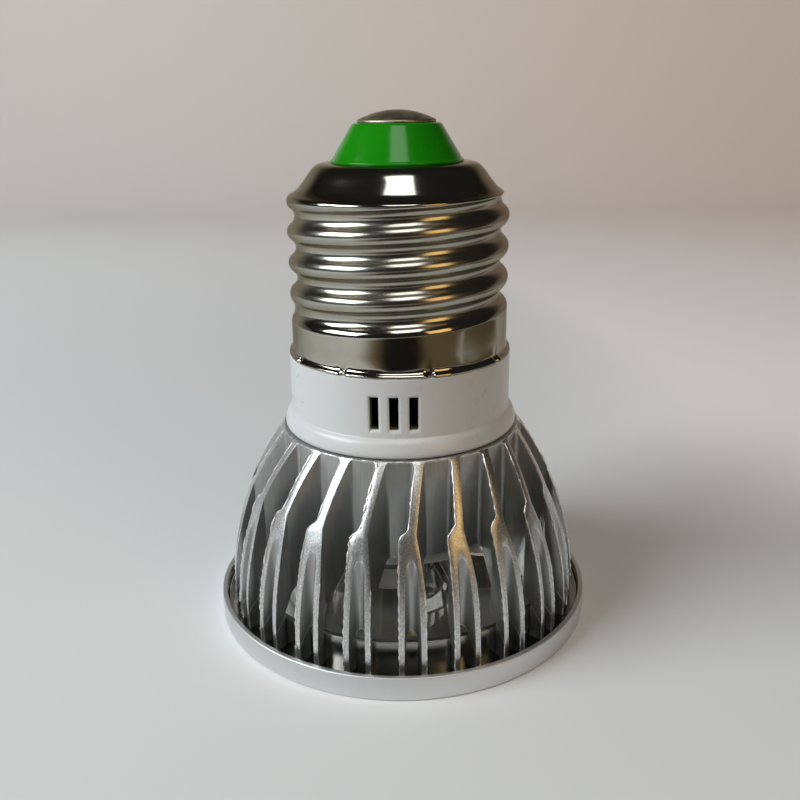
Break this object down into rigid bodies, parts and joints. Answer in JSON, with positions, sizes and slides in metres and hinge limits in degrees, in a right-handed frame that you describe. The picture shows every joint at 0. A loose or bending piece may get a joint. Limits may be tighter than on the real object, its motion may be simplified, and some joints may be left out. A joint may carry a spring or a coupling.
{
  "type": "led spotlight bulb",
  "caption": "Screw-cap LED spotlight bulb with a bell-shaped heat sink of forked fins, a white driver collar and a round front ring that holds a clear lens.",
  "frame": {"origin": "centre of the front ring's flat face, on which the bulb stands", "axes": "+Z along the bulb's axis from the front ring to the centre contact, -Y towards the side with the vent slots that the picture shows"},
  "size_m": [0.048, 0.048, 0.0622],
  "materials": {
    "contact_metal": "plated, lightly rubbed",
    "insulator_green": "moulded green, glossy",
    "shell_nickel": "bright nickel plating on rolled sheet",
    "collar_white": "moulded white, satin gloss",
    "sink_aluminium": "extruded, outside turned bright",
    "ring_aluminium": "fine turned satin",
    "lens_clear": "clear moulded optic",
    "pad_grey": "soft thermal sheet",
    "board_white": "white solder mask on aluminium",
    "led_ceramic": "matt ceramic",
    "led_dome": "silicone with yellow phosphor",
    "screw_steel": "zinc plated",
    "board_green": "green solder mask",
    "can_sleeve": "shrink sleeve",
    "ferrite": "sintered ferrite",
    "chip_black": "moulded black",
    "bobbin_black": "moulded black",
    "coil_tape": "yellow winding tape",
    "resistor_green": "lacquer",
    "wire_red": "insulated lead",
    "wire_black": "insulated lead"
  },
  "bodies": {
    "root": {"contact_pin": "contact_metal", "insulator": "insulator_green", "screw_shell": "shell_nickel", "collar": "collar_white", "heat_sink": "sink_aluminium", "bezel_ring": "ring_aluminium", "lens": "lens_clear", "thermal_pad": "pad_grey", "led_board": "board_white", "led_packages": "led_ceramic", "led_domes": "led_dome", "board_screws": "screw_steel", "collar_screws": "screw_steel", "driver_board": "board_green", "input_capacitor": "can_sleeve", "output_capacitor": "can_sleeve", "choke": "ferrite", "bridge_rectifier": "chip_black", "transformer_bobbin": "bobbin_black", "transformer_coil": "coil_tape", "transformer_core": "ferrite", "driver_chip": "chip_black", "fuse_resistor": "resistor_green", "live_wire": "wire_red", "neutral_wire": "wire_black", "led_wire_positive": "wire_red", "led_wire_negative": "wire_black"}
  },
  "joints": []
}
